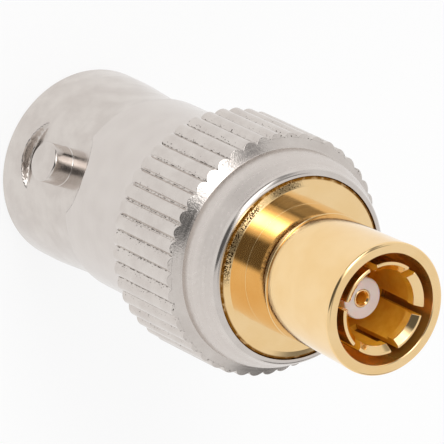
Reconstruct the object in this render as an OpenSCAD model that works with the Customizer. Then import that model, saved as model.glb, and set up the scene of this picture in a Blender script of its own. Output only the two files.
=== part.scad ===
// Straight coaxial adapter: a bayonet jack with a knurled grip at one end and a push-on plug at the other.
// The axis is +Z. The part stands on the jack's mouth at z = 0, and one bayonet lug points along +X.

/* [Overall] */
// Length of the whole adapter, from the jack's mouth to the shroud's rim
total_l = 26; // [24:0.5:32]

/* [Jack barrel] */
// Outer diameter of the barrel that the bayonet ring slides over
barrel_d = 9.7; // [9.5:0.05:9.8]
// Length of the barrel's straight part, from the mouth to the taper
front_l = 1.7; // [1.4:0.05:2]
// Rounding of the barrel's outer edge at the mouth
barrel_edge = 0.25; // [0.1:0.05:0.3]
// Length of the shallow taper from the barrel down to the lug band
taper_l = 2.9; // [2.5:0.1:3.3]
// Width of the lug band, between the taper and the neck
band_l = 1.3; // [1:0.05:1.6]
// Depth of the lug band below the barrel
band_depth = 0.19; // [0.12:0.01:0.25]
// Rounding of the neck's edge beside the lug band
band_edge = 0.13; // [0.06:0.01:0.14]
// Diameter of the neck between the lug band and the grip
neck_d = 9.75; // [9.6:0.05:9.9]

/* [Jack mouth] */
// Thickness of the barrel's wall round the mouth
mouth_wall = 0.8; // [0.7:0.05:0.9]
// Depth of the mouth, down to the lip that holds the insulator
mouth_depth = 5.4; // [5:0.1:6]
// Width of the lead-in chamfer round the mouth
mouth_chamfer = 0.25; // [0.1:0.05:0.3]
// Inner diameter of the lip
lip_d = 6.4; // [5.8:0.1:6.6]
// Thickness of the lip
lip_l = 1; // [0.6:0.1:1.5]

/* [Bayonet lugs] */
// Height of the lugs' centre line above the mouth
lug_z = 4.2; // [4:0.05:4.4]
// Diameter of a lug
lug_d = 1.95; // [1.8:0.05:2.1]
// Distance over the two lugs, tip to tip
lug_span = 11; // [10.6:0.1:11.4]
// Rounding of a lug's tip edge
lug_edge = 0.12; // [0.05:0.01:0.2]
// Diameter of the flat that the hollow mill leaves round a lug
flat_d = 5.2; // [4.4:0.1:5.6]
// Depth of that flat below the barrel
flat_depth = 0.44; // [0.3:0.01:0.5]

/* [Knurled grip] */
// Diameter over the ridges
grip_d = 12; // [11.8:0.1:12.6]
// Length of the grip with its two chamfers
grip_l = 5.42; // [4:0.01:7]
// Number of ridges
ridge_count = 46; // [36:2:54]
// Depth of the grooves between the ridges
ridge_depth = 0.22; // [0.12:0.01:0.3]
// Angle of the first ridge from the lug
ridge_turn = 1.9; // [0:0.1:10]
// Length of the chamfer at each end of the grip
grip_chamfer = 0.37; // [0.2:0.01:0.6]

/* [Hub] */
// Diameter of the plain hub beside the grip
hub_d = 10.7; // [10.5:0.05:10.9]
// Length of the hub
hub_l = 1.96; // [1.6:0.02:2.6]
// Length of the taper at the hub's end
hub_taper_l = 1.33; // [1:0.01:1.5]
// Diameter that the hub tapers to
hub_end_d = 9.48; // [9.4:0.02:9.8]
// Rounding of the hub's end
hub_round = 0.3; // [0.1:0.02:0.34]
// Depth of the socket that the plug body is pressed into
socket_depth = 4.93; // [3.5:0.01:5.5]

/* [Plug body] */
// Diameter of the flange
flange_d = 9; // [8.8:0.02:9.1]
// Height of the flange above the hub's face
flange_proud = 0.02; // [0:0.01:0.2]
// Rounding of the flange's edge
flange_edge = 0.12; // [0.04:0.01:0.16]
// Diameter where the hollow neck leaves the flange's face
cove_d = 8.06; // [7.6:0.02:8.4]
// Length of the hollow neck between flange and collar
cove_l = 0.8; // [0.6:0.05:1]
// Radius of the hollow neck's curve
cove_r = 2; // [1.4:0.05:3]
// Height of the collar above the shroud
collar_proud = 0.045; // [0.02:0.005:0.1]
// Length of the collar's straight part
collar_l = 1.05; // [0.6:0.05:1.5]
// Length of the spigot inside the shroud
spigot_l = 1.5; // [1:0.1:2]

/* [Plug shroud] */
// Thickness of the shroud's wall at the collar
shroud_wall = 0.385; // [0.36:0.005:0.41]
// Outer diameter of the shroud at the collar
shroud_base_d = 6.18; // [6.1:0.01:6.26]
// Outer diameter of the shroud at the rim
shroud_rim_d = 6.5; // [6.35:0.05:6.7]
// Length of the shroud
shroud_l = 5.2; // [4.8:0.1:6]
// Rounding of the rim's outer edge
rim_round = 0.2; // [0.1:0.02:0.24]

/* [Plug collet] */
// Outer diameter of the collet
collet_d = 4.57; // [4.5:0.01:4.62]
// Distance of the collet's tip behind the shroud's rim
collet_setback = 0.1; // [0:0.05:0.4]
// Length of the collet that is pressed into the plug body
collet_hold = 3.7; // [3:0.1:4.2]
// Inner diameter of the lip at the collet's tip
grasp_d = 3.7; // [3.6:0.02:3.76]
// Length of the lip's straight part
grasp_l = 0.5; // [0.3:0.05:0.8]
// Width of the bevel in front of the lip
grasp_bevel = 0.28; // [0.15:0.01:0.3]
// Inner diameter behind the lip
spring_d = 4.02; // [3.96:0.02:4.1]
// Depth of the collet's inside, from the tip to its floor
collet_depth = 4.9; // [4.4:0.1:5.1]
// Thickness of the floor that holds the insulator
floor_l = 0.4; // [0.3:0.05:0.6]
// Diameter of the hole in the floor, which a step of the insulator fills
floor_bore = 2.4; // [2.3:0.05:2.6]
// Number of slots
slot_count = 6; // [4:2:6]
// Width of a slot
slot_w = 0.4; // [0.25:0.01:0.45]
// Length of a slot
slot_l = 3.4; // [2.8:0.1:3.6]
// Angle of the first slot from the lug
slot_turn = 9.7; // [0:0.1:60]

/* [Insulators] */
// Diameter of the jack insulator's body
jack_insulator_d = 7; // [6.8:0.1:7.4]
// Diameter of the jack insulator's nose
jack_nose_d = 4.7; // [4.5:0.1:5]
// Distance of the jack insulator's nose behind the mouth
jack_nose_setback = 0.3; // [0.1:0.1:1]
// Diameter of the plug insulator's body
plug_insulator_d = 3.2; // [2.9:0.05:3.4]
// Diameter of the plug insulator's nose
plug_nose_d = 2.03; // [1.9:0.01:2.1]
// Distance of the plug insulator's nose behind the shroud's rim
plug_nose_setback = 1.9; // [1.5:0.1:2.4]

/* [Contacts] */
// Outer diameter of the jack contact
jack_contact_d = 2.1; // [1.9:0.05:2.3]
// Bore of the jack contact
jack_contact_bore = 1.36; // [1.3:0.02:1.42]
// Depth of that bore
jack_contact_depth = 5; // [4.5:0.1:6]
// Distance of the jack contact behind the mouth
jack_contact_setback = 0.5; // [0.4:0.1:1]
// Width of the saw cut across the jack contact
saw_cut_w = 0.25; // [0.15:0.01:0.3]
// Length of that saw cut
saw_cut_l = 3.5; // [2:0.1:4]
// Diameter of the jack contact's collar
jack_collar_d = 2.8; // [2.6:0.05:3]
// Outer diameter of the plug contact
plug_contact_d = 0.88; // [0.82:0.01:0.94]
// Bore of the plug contact
plug_contact_bore = 0.58; // [0.54:0.01:0.6]
// Depth of that bore
plug_contact_depth = 2.6; // [2:0.1:3.5]
// Diameter of the plug contact's collar
plug_collar_d = 1.5; // [1.3:0.05:1.6]
// Length of the collar on each contact
contact_collar_l = 1; // [0.6:0.1:1.5]
// Length of the plug contact's tail inside the jack contact
tail_l = 2.5; // [2:0.1:3]

/* [Fits] */
// Radial clearance between pieces that are pressed together
press_gap = 0.01; // [0.005:0.005:0.02]

/* [Hidden] */

// Colours of the plating and of the insulators
NICKEL = "#cfc9c4";
GOLD = "#e6b75c";
WHITE = "#e4dcd8";

// Round faces, and the straight stretches in each rounded corner of an outline and in each ridge's back
$fn = 96;
ARC_STEPS = 8;
RIDGE_STEPS = 6;
// How far a cutter reaches past the face that it opens
PAST = 0.5;

// Heights along the axis, up from the mouth and down from the rim; the neck takes what is left between them
z_neck = front_l + taper_l + band_l;
z_lip = mouth_depth + lip_l;
z_rim = total_l;
z_seam = z_rim - shroud_l;
z_collar = z_seam - collar_l;
z_flange = z_collar - cove_l;
z_face = z_flange - flange_proud;
z_hub = z_face - hub_l;
z_grip = z_hub - grip_l;
z_seat = z_face - socket_depth;
z_spigot = z_seam + spigot_l;
z_collet_seat = z_spigot - collet_hold;
z_tip = z_rim - collet_setback;
z_floor = z_tip - collet_depth;
z_nose = z_rim - plug_nose_setback;

// Radii that more than one outline uses
barrel_r = barrel_d / 2;
mouth_r = barrel_r - mouth_wall;
neck_r = neck_d / 2;
grip_r = grip_d / 2;
hub_r = hub_d / 2;
flange_r = flange_d / 2;
shroud_base_r = shroud_base_d / 2;
shroud_rim_r = shroud_rim_d / 2;
shroud_bore_r = shroud_base_r - shroud_wall;
collar_r = shroud_base_r + collar_proud;

// A ridge's round back touches the grip's circle and meets its neighbour at the bottom of the groove
half_pitch = 180 / ridge_count;
groove_bottom_r = grip_r - ridge_depth;
ridge_fall = grip_r - groove_bottom_r * cos(half_pitch);
ridge_half_w = groove_bottom_r * sin(half_pitch);
ridge_r = (ridge_fall * ridge_fall + ridge_half_w * ridge_half_w) / (2 * ridge_fall);
ridge_angle = atan2(ridge_half_w, ridge_r - ridge_fall);

// The hub's taper leans this far from the axis's normal plane, and its rounded end turns on from there
hub_end_r = hub_end_d / 2;
hub_lean = atan2(hub_taper_l, hub_r - hub_end_r);

// The hollow neck's arc stands on the chord from the flange's face to the collar
cove_w = cove_d / 2 - collar_r;
cove_middle = 180 + atan2(cove_w, cove_l);
cove_half = asin(norm([cove_w, cove_l]) / (2 * cove_r));
cove_first = cove_middle + cove_half;
cove_last = cove_middle - cove_half;

// The shroud's outer curve leaves the collar straight and opens to the rim's diameter
flare = shroud_rim_r - shroud_base_r;
flare_r = (shroud_l * shroud_l + flare * flare) / (2 * flare);
flare_angle = asin((shroud_l - rim_round) / flare_r);

// Points of an arc in an outline: centre, radius, first and last angle
function arc(x, y, radius, first, last) =
    [for (i = [0 : ARC_STEPS])
        let (angle = first + (last - first) * i / ARC_STEPS)
        [x + radius * cos(angle), y + radius * sin(angle)]];

// Points of one ridge's round back, turned about the axis, up to but not on the next groove's bottom
function ridge_back(turn) =
    [for (i = [0 : RIDGE_STEPS - 1])
        let (angle = ridge_angle * (2 * i / RIDGE_STEPS - 1))
        let (x = grip_r - ridge_r + ridge_r * cos(angle), y = ridge_r * sin(angle))
        [x * cos(turn) - y * sin(turn), x * sin(turn) + y * cos(turn)]];

// A solid turned about the axis from its outline, which closes along the axis
module turned(outline, low, high) {
    rotate_extrude()
    polygon(concat([[0, low]], outline, [[0, high]]));
}

// A plain round bar about the axis, between two heights
module bar(diameter, low, high) {
    translate([0, 0, low])
    cylinder(d = diameter, h = high - low);
}

// Outside of the jack body before the grip, flats and lugs are made
module jack_blank() {
    band_r = barrel_r - band_depth;
    turned(concat(
        arc(barrel_r - barrel_edge, barrel_edge, barrel_edge, -90, 0),
        [
            [barrel_r, front_l],
            [band_r, front_l + taper_l],
            [band_r, z_neck]
        ],
        arc(neck_r - band_edge, z_neck + band_edge, band_edge, -90, 0),
        [
            [neck_r, z_grip + grip_chamfer],
            [hub_r, z_grip + grip_chamfer],
            [hub_r, z_face - hub_taper_l]
        ],
        arc(hub_end_r - hub_round * tan(hub_lean / 2), z_face - hub_round, hub_round, 90 - hub_lean, 90)
    ), 0, z_face);
}

// Ridged disc with a chamfer at each end, which runs on past the ridges' backs
module grip() {
    neck_slope = grip_chamfer / (grip_r - neck_r);
    hub_slope = grip_chamfer / (grip_r - hub_r);
    intersection() {
        translate([0, 0, z_grip])
        linear_extrude(grip_l)
        rotate(ridge_turn)
        polygon([for (i = [0 : ridge_count - 1]) each ridge_back(2 * half_pitch * i)]);
        turned([
            [neck_r, z_grip],
            [grip_r + PAST, z_grip + grip_chamfer + PAST * neck_slope],
            [grip_r + PAST, z_hub - grip_chamfer - PAST * hub_slope],
            [hub_r, z_hub]
        ], z_grip, z_hub);
    }
}

// Both lugs as one bar across the barrel, with round tip edges
module lug_bar() {
    lug_r = lug_d / 2;
    tip = lug_span / 2;
    translate([0, 0, lug_z])
    rotate([0, 90, 0])
    turned(concat(
        arc(lug_r - lug_edge, lug_edge - tip, lug_edge, -90, 0),
        arc(lug_r - lug_edge, tip - lug_edge, lug_edge, 0, 90)
    ), -tip, tip);
}

// The two discs that the hollow mill takes off round the lugs
module flat_cuts() {
    for (side = [0, 180]) {
        rotate(side)
        translate([barrel_r - flat_depth, 0, lug_z])
        rotate([0, 90, 0])
        cylinder(d = flat_d, h = flat_depth + PAST);
    }
}

// Inside of the jack body: mouth, lip, insulator bore and the plug body's socket
module jack_cavity() {
    lip_r = lip_d / 2;
    bore_r = jack_insulator_d / 2 + press_gap;
    socket_r = flange_r + press_gap;
    turned([
        [mouth_r + mouth_chamfer + PAST, -PAST],
        [mouth_r, mouth_chamfer],
        [mouth_r, mouth_depth],
        [lip_r, mouth_depth],
        [lip_r, z_lip],
        [bore_r, z_lip],
        [bore_r, z_seat],
        [socket_r, z_seat],
        [socket_r, z_face + PAST]
    ], -PAST, z_face + PAST);
}

// Nickel-plated body with the bayonet barrel, the lugs, the knurled grip and the hub
module jack_body() {
    color(NICKEL)
    difference() {
        union() {
            difference() {
                jack_blank();
                flat_cuts();
            }
            grip();
            lug_bar();
        }
        jack_cavity();
    }
}

// White insulator of the jack, held behind the lip and flush with the socket's floor
module jack_insulator() {
    neck_bar_d = lip_d - 2 * press_gap;
    color(WHITE)
    difference() {
        union() {
            bar(jack_nose_d, jack_nose_setback, mouth_depth);
            bar(neck_bar_d, mouth_depth, z_lip);
            bar(jack_insulator_d, z_lip, z_seat);
        }
        bar(jack_contact_d + 2 * press_gap, jack_nose_setback - PAST, z_seat);
        bar(jack_collar_d + 2 * press_gap, z_seat - contact_collar_l, z_seat + PAST);
    }
}

// Centre socket of the jack: a sawn tube with a collar at the back
module jack_contact() {
    front = jack_contact_setback;
    color(GOLD)
    difference() {
        union() {
            bar(jack_contact_d, front, z_seat);
            bar(jack_collar_d, z_seat - contact_collar_l, z_seat);
        }
        bar(jack_contact_bore, front - PAST, front + jack_contact_depth);
        bar(plug_contact_d + 2 * press_gap, z_seat - tail_l, z_seat + PAST);
        translate([-saw_cut_w / 2, -jack_contact_d, front - PAST])
        cube([saw_cut_w, 2 * jack_contact_d, saw_cut_l + PAST]);
    }
}

// Gold-plated flange, hollow neck and collar, with the spigot that carries the shroud
module plug_body() {
    spigot_r = shroud_bore_r - press_gap;
    color(GOLD)
    difference() {
        turned(concat(
            [[flange_r, z_seat]],
            arc(flange_r - flange_edge, z_flange - flange_edge, flange_edge, 0, 90),
            arc(
                cove_d / 2 - cove_r * cos(cove_first),
                z_flange - cove_r * sin(cove_first),
                cove_r, cove_first, cove_last
            ),
            [
                [collar_r, z_seam],
                [spigot_r, z_seam],
                [spigot_r, z_spigot]
            ]
        ), z_seat, z_spigot);
        bar(plug_insulator_d + 2 * press_gap, z_seat - PAST, z_spigot);
        bar(collet_d + 2 * press_gap, z_collet_seat, z_spigot + PAST);
    }
}

// Gold-plated sleeve that opens like a trumpet towards its rounded rim
module plug_shroud() {
    rim_centre_r = shroud_base_r + flare_r * (1 - cos(flare_angle)) - rim_round;
    color(GOLD)
    difference() {
        turned(concat(
            arc(shroud_base_r + flare_r, z_seam, flare_r, 180, 180 - flare_angle),
            arc(rim_centre_r, z_rim - rim_round, rim_round, 0, 90)
        ), z_seam, z_rim);
        bar(2 * shroud_bore_r, z_seam - PAST, z_rim + PAST);
    }
}

// Gold-plated spring tube, sawn into fingers with a lip at their tips
module plug_collet() {
    grasp_r = grasp_d / 2;
    z_grasp = z_tip - grasp_bevel;
    color(GOLD)
    difference() {
        bar(collet_d, z_collet_seat, z_tip);
        bar(plug_insulator_d + 2 * press_gap, z_collet_seat - PAST, z_floor - floor_l);
        bar(floor_bore, z_collet_seat, z_tip);
        bar(spring_d, z_floor, z_grasp - grasp_l);
        turned([
            [grasp_r, z_floor],
            [grasp_r, z_grasp],
            [grasp_r + grasp_bevel + PAST, z_tip + PAST]
        ], z_floor, z_tip + PAST);
        for (i = [0 : slot_count - 1]) {
            rotate(slot_turn + 360 * i / slot_count)
            translate([0, -slot_w / 2, z_tip - slot_l])
            cube([collet_d, slot_w, slot_l + PAST]);
        }
    }
}

// White insulator of the plug, held under the collet's floor, with the nose that shows
module plug_insulator() {
    color(WHITE)
    difference() {
        union() {
            bar(plug_insulator_d, z_seat, z_floor - floor_l);
            bar(floor_bore - 2 * press_gap, z_seat, z_floor);
            bar(plug_nose_d, z_seat, z_nose);
        }
        bar(plug_contact_d + 2 * press_gap, z_seat, z_nose + PAST);
        bar(plug_collar_d + 2 * press_gap, z_seat - PAST, z_seat + contact_collar_l);
    }
}

// Centre socket of the plug, with a collar on the socket's floor and a tail in the jack contact
module plug_contact() {
    color(GOLD)
    difference() {
        union() {
            bar(plug_contact_d, z_seat - tail_l, z_nose);
            bar(plug_collar_d, z_seat, z_seat + contact_collar_l);
        }
        bar(plug_contact_bore, z_nose - plug_contact_depth, z_nose + PAST);
    }
}

jack_body();
jack_insulator();
jack_contact();
plug_body();
plug_shroud();
plug_collet();
plug_insulator();
plug_contact();
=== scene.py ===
"""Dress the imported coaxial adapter: bright plating, sawn spring fingers and turned white insulators.

Each piece is a smooth surface that stands for one solid of the part, with sizes in millimetres along the +Z
axis. The stage is a white light tent: a pale floor and an even dome, with bright and dark cards that the
metal mirrors.
"""

from __future__ import annotations

import logging
import math
from collections.abc import Sequence
from dataclasses import dataclass
from enum import Enum

import bpy
import numpy as np
from bpy.types import Material, Node, NodeSocket, NodeTree, Object, World
from mathutils import Matrix, Vector

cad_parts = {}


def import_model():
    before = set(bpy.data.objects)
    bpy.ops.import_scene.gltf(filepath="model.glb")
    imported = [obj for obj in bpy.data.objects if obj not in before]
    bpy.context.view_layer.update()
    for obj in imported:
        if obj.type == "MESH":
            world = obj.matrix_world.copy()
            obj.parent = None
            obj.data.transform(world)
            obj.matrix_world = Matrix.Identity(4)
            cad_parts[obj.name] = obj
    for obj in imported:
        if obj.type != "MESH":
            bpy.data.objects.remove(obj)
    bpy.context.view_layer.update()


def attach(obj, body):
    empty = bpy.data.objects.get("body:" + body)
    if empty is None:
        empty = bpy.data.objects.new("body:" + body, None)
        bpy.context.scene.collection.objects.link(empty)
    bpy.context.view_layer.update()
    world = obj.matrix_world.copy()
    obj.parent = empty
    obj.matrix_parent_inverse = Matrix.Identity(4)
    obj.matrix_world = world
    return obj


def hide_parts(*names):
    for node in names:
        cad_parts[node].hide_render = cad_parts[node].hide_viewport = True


LOG = logging.getLogger("adapter")
BODY = "root"
# Metres in a millimetre
METRES = 0.001
# What keeps a division finite, the least change of direction at a corner in radians, and the share of an
# edge that the roundings at its ends may take
TINY = 1e-9
LEAST_TURN = 1e-5
EDGE_SHARE = 0.98
# Points in a rounded corner and in a sawn edge, and columns across a spring finger
ARC_STEPS = 10
SAWN_STEPS = 5
FINGER_COLUMNS = 26
# Noise levels between which clouds and lathe marks go from none to full, and octaves of all noise
CLOUD_NOISE = (0.35, 0.65)
MARK_NOISE = (0.3, 0.7)
NOISE_DETAIL = 3.0
WHITE_LIGHT = "#ffffff"
# Radius, height and rounding of each corner of an outline
Corners = Sequence[tuple[float, float, float]]


class Slot(Enum):
    """The record's material slots."""

    NICKEL = "nickel_plating"
    GOLD = "gold_plating"
    WHITE = "white_insulator"


class Edge(float, Enum):
    """Roundings that recur on turned edges, in millimetres."""

    BUTTED = 0.001
    CRISP = 0.02
    BROKEN = 0.03
    EASED = 0.04
    SOFT = 0.05
    ROUND = 0.08


def linear(hex_colour: str) -> tuple[float, float, float, float]:
    """Turn an sRGB hex colour into linear red, green, blue and alpha.

    Args:
        hex_colour: A colour such as "#cfc9c4".

    Returns:
        Four numbers from 0 to 1.
    """
    srgb = np.array([int(hex_colour[i : i + 2], 16) for i in (1, 3, 5)]) / 255
    values = np.where(srgb <= 0.04045, srgb / 12.92, ((srgb + 0.055) / 1.055) ** 2.4)
    return (float(values[0]), float(values[1]), float(values[2]), 1.0)


def node(
    tree: NodeTree, kind: str, links: dict | None = None, out: int | str = 0, **settings: object
) -> NodeSocket:
    """Add one shader node.

    Args:
        tree: The tree that gets the node.
        kind: The node's type, without its ShaderNode prefix.
        links: What goes into each input, by name or number: a socket to link, or a value to set.
        out: Which output to return, by name or number.
        settings: The node's own properties.

    Returns:
        That output of the new node.
    """
    made = tree.nodes.new("ShaderNode" + kind)
    for key, value in settings.items():
        setattr(made, key, value)
    for key, value in (links or {}).items():
        if isinstance(value, NodeSocket):
            tree.links.new(value, made.inputs[key])
        else:
            made.inputs[key].default_value = value
    return made.outputs[out]


# Surfaces


@dataclass
class Shell:
    """One surface.

    Attributes:
        points: Vertex places in millimetres, shape (vertices, 3).
        normals: Shading normals, shape (vertices, 3).
        faces: Groups of faces; a group has one row of vertex numbers per face.
    """

    points: np.ndarray
    normals: np.ndarray
    faces: list[np.ndarray]

    def moved(self, turn: np.ndarray) -> Shell:
        """Return the shell turned by a 3 by 3 rotation."""
        return Shell(self.points @ turn.T, self.normals @ turn.T, self.faces)


def rounded(corners: np.ndarray, radii: np.ndarray, steps: int) -> np.ndarray:
    """Round the corners of closed outlines.

    Both edges at a corner are cut back by radius * tan(turn / 2), where turn is the change of direction.
    Where the cuts of two corners don't fit on the edge between them, both shrink. An arc then swings from
    one cut to the other about a centre on the corner's bisector, radius / cos(turn / 2) from the corner.

    Args:
        corners: Corner points, shape (corners, columns, 2).
        radii: Rounding of each corner, shape (corners,).
        steps: Points in each arc.

    Returns:
        Points of the rounded outlines, shape (corners * steps, columns, 2).
    """
    back = np.roll(corners, 1, axis=0) - corners
    ahead = np.roll(corners, -1, axis=0) - corners
    back_length = np.linalg.norm(back, axis=-1, keepdims=True)
    ahead_length = np.linalg.norm(ahead, axis=-1, keepdims=True)
    back, ahead = back / back_length, ahead / ahead_length
    opening = np.arccos(np.clip((back * ahead).sum(-1, keepdims=True), -1, 1))
    turn = np.maximum(math.pi - opening, LEAST_TURN)
    cut = radii[:, None, None] * np.tan(turn / 2)
    room = EDGE_SHARE * ahead_length / np.maximum(cut + np.roll(cut, -1, axis=0), TINY)
    cut = cut * np.minimum(1, np.minimum(room, np.roll(room, 1, axis=0)))
    bisector = back + ahead
    bisector = bisector / np.maximum(np.linalg.norm(bisector, axis=-1, keepdims=True), TINY)
    centre = corners + bisector * cut / np.sin(turn / 2)
    first, last = corners + back * cut - centre, corners + ahead * cut - centre
    share = np.linspace(0, 1, steps)[None, :, None, None]
    swing = turn[:, None]
    arcs = centre[:, None] + (
        np.sin((1 - share) * swing) * first[:, None] + np.sin(share * swing) * last[:, None]
    ) / np.sin(swing)
    return arcs.reshape(-1, *corners.shape[1:])


def outline(corners: Corners, steps: int = ARC_STEPS) -> np.ndarray:
    """Closed outline of a turned piece.

    Args:
        corners: Radius, height and rounding of each corner, walked with the material on the left.
        steps: Points in each rounded corner.

    Returns:
        Radius and height of each point, shape (points, 2).
    """
    table = np.array(corners, float)
    return rounded(table[:, None, :2], table[:, 2], steps)[:, 0]


def closed(table: np.ndarray, rows_close: bool, columns_close: bool) -> np.ndarray:
    """Repeat the first row and the first column at a table's end, where they join."""
    table = np.concatenate([table, table[:1]]) if rows_close else table
    return np.concatenate([table, table[:, :1]], axis=1) if columns_close else table


def skin(grid: np.ndarray, rows_close: bool, columns_close: bool) -> Shell:
    """Cover a grid of points with four-cornered faces, and give it shading normals.

    Each cell's area vector is half the cross product of its diagonals. A point's normal is the sum over the
    cells round it, so that wide faces stay flat beside narrow rounded edges.

    Args:
        grid: Points, shape (rows, columns, 3).
        rows_close: Whether the last row joins the first.
        columns_close: Whether the last column joins the first.

    Returns:
        The surface, open where the grid doesn't join.
    """
    rows, columns = grid.shape[:2]
    full = closed(grid, rows_close, columns_close)
    cells = np.cross(full[1:, 1:] - full[:-1, :-1], full[1:, :-1] - full[:-1, 1:])
    total = np.zeros_like(full)
    for corner in (total[:-1, :-1], total[1:, :-1], total[:-1, 1:], total[1:, 1:]):
        corner += cells
    if rows_close:
        total[0] += total[-1]
    if columns_close:
        total[:, 0] += total[:, -1]
    total = total[:rows, :columns]
    normals = total / np.maximum(np.linalg.norm(total, axis=-1, keepdims=True), TINY)
    number = closed(np.arange(rows * columns).reshape(rows, columns), rows_close, columns_close)
    corners = [number[:-1, :-1], number[:-1, 1:], number[1:, 1:], number[1:, :-1]]
    faces = np.stack(corners, axis=-1).reshape(-1, 4)
    return Shell(grid.reshape(-1, 3), normals.reshape(-1, 3), [faces])


def round_the_axis(radius: np.ndarray, height: np.ndarray, angle: np.ndarray) -> np.ndarray:
    """Points (radius cos angle, radius sin angle, height) as one array with a last axis of 3."""
    radius, height, angle = np.broadcast_arrays(radius, height, angle)
    return np.stack([radius * np.cos(angle), radius * np.sin(angle), height], axis=-1)


def full_turn(columns: int) -> np.ndarray:
    """Evenly spaced angles of one turn, in radians."""
    return np.arange(columns) * 2 * math.pi / columns


def ring_shell(radius: np.ndarray, height: np.ndarray, angles: np.ndarray) -> Shell:
    """Carry a closed outline round the axis, which gives a surface closed both ways.

    Args:
        radius: Radius of each point, shape (rows, columns) or (rows, 1).
        height: Height of each point, of the same shape.
        angles: Angle of each column.

    Returns:
        The closed shell.
    """
    return skin(round_the_axis(radius, height, angles[None, :]), True, True)


def turned(corners: Corners, columns: int = 160) -> Shell:
    """Ring-shaped turned piece from its corners, as `outline` takes them."""
    line = outline(corners)
    return ring_shell(line[:, :1], line[:, 1:], full_turn(columns))


def capped(corners: Corners, columns: int = 96) -> Shell:
    """Turned piece whose outline starts and ends on the axis, where it closes in a point.

    Args:
        corners: Radius, height and rounding; the first and last corners have radius 0.
        columns: Points round the axis.

    Returns:
        The closed shell, with one vertex at each end of the outline.
    """
    line = outline(corners)[ARC_STEPS:-ARC_STEPS]
    grid = round_the_axis(line[:, :1], line[:, 1:], full_turn(columns)[None, :])
    side = skin(grid, False, True)
    ring, after = np.arange(columns) + 1, (np.arange(columns) + 1) % columns + 1
    top, top_ring = len(side.points) + 1, len(side.points) - columns
    low_fan = np.stack([np.zeros_like(ring), after, ring], axis=1)
    high_fan = np.stack([top_ring + ring, top_ring + after, np.full_like(ring, top)], axis=1)
    ends = np.array([[0, 0, corners[0][1]], [0, 0, corners[-1][1]]])
    return Shell(
        np.concatenate([ends[:1], side.points, ends[1:]]),
        np.concatenate([[[0, 0, -1]], side.normals, [[0, 0, 1]]]),
        [side.faces[0] + 1, low_fan, high_fan],
    )


def fingers(loop: np.ndarray, cuts: np.ndarray, half_width: float, edge: float) -> list[Shell]:
    """Spring fingers that saw cuts leave in a tube.

    The closed outline is carried from the wall of one cut to the wall of the next. A wall is a plane at a
    distance d from the cut's middle plane, so a point with radius r starts asin(d / r) past the cut's angle.
    At each wall the outline is drawn in along a quarter circle, which rounds the sawn edge.

    Args:
        loop: Radius and height of the outline, shape (rows, 2).
        cuts: Angle of each cut, rising, in radians.
        half_width: Half of a cut's width.
        edge: Rounding of the sawn edges.

    Returns:
        One closed shell for each finger.
    """
    along = np.roll(loop, -1, axis=0) - np.roll(loop, 1, axis=0)
    outward = np.stack([along[:, 1], -along[:, 0]], axis=1)
    outward = outward / np.linalg.norm(outward, axis=1, keepdims=True)
    quarter = np.linspace(math.pi / 2, 0, SAWN_STEPS)
    drawn = loop[:, None] - outward[:, None] * (edge * (1 - np.cos(quarter)))[None, :, None]
    lag = np.arcsin((half_width + edge * (1 - np.sin(quarter))) / drawn[..., 0])
    share = np.linspace(0, 1, FINGER_COLUMNS)[None, 1:-1]
    middle = np.repeat(loop[:, None], share.shape[1], axis=1)
    section = np.concatenate([drawn, middle, drawn[:, ::-1]], axis=1)
    rows, columns = section.shape[:2]
    low_cap = (np.arange(rows) * columns)[None, :]
    high_cap = low_cap[:, ::-1] + columns - 1
    shells = []
    for first, last in zip(cuts, [*cuts[1:], cuts[0] + 2 * math.pi]):
        start, stop = first + lag, last - lag[:, ::-1]
        between = start[:, -1:] + (stop[:, :1] - start[:, -1:]) * share
        angles = np.concatenate([start, between, stop], axis=1)
        finger = skin(round_the_axis(section[..., 0], section[..., 1], angles), True, False)
        finger.normals[low_cap] = (math.sin(first), -math.cos(first), 0)
        finger.normals[high_cap] = (-math.sin(last), math.cos(last), 0)
        finger.faces += [low_cap, high_cap]
        shells.append(finger)
    return shells


def make_piece(
    name: str,
    node_name: str,
    shells: Sequence[Shell],
    finish: Finish,
    deep: tuple[Finish, Zone] | None = None,
) -> Object:
    """Put shells into one mesh that stands for a CAD node.

    Args:
        name: Name of the piece.
        node_name: Name of the CAD node.
        shells: The closed surfaces, in millimetres.
        finish: What the piece is dressed in.
        deep: A second finish, and the zone where faces take it.

    Returns:
        The object, at the origin, riding on the part's body.
    """
    firsts = np.cumsum([0] + [len(shell.points) for shell in shells])
    groups = [group + first for shell, first in zip(shells, firsts) for group in shell.faces]
    sizes = np.concatenate([np.full(len(group), group.shape[1]) for group in groups])
    loops = np.concatenate([group.ravel() for group in groups])
    points = np.concatenate([shell.points for shell in shells])
    mesh = bpy.data.meshes.new(name)
    mesh.vertices.add(len(points))
    mesh.vertices.foreach_set("co", (points * METRES).astype(np.float32).ravel())
    mesh.loops.add(len(loops))
    mesh.loops.foreach_set("vertex_index", loops.astype(np.int32))
    mesh.polygons.add(len(sizes))
    mesh.polygons.foreach_set("loop_start", (np.cumsum(sizes) - sizes).astype(np.int32))
    mesh.materials.append(finish.material())
    if deep is not None:
        mesh.materials.append(deep[0].material())
        middles = np.concatenate([points[group].mean(axis=1) for group in groups])
        mesh.polygons.foreach_set("material_index", deep[1].holds(middles).astype(np.int32))
    mesh.update(calc_edges=True)
    mesh.shade_smooth()
    mesh.normals_split_custom_set_from_vertices(np.concatenate([shell.normals for shell in shells]))
    piece = bpy.data.objects.new(name, mesh)
    bpy.context.scene.collection.objects.link(piece)
    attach(piece, BODY)
    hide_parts(node_name)
    return piece


# Finishes


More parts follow.
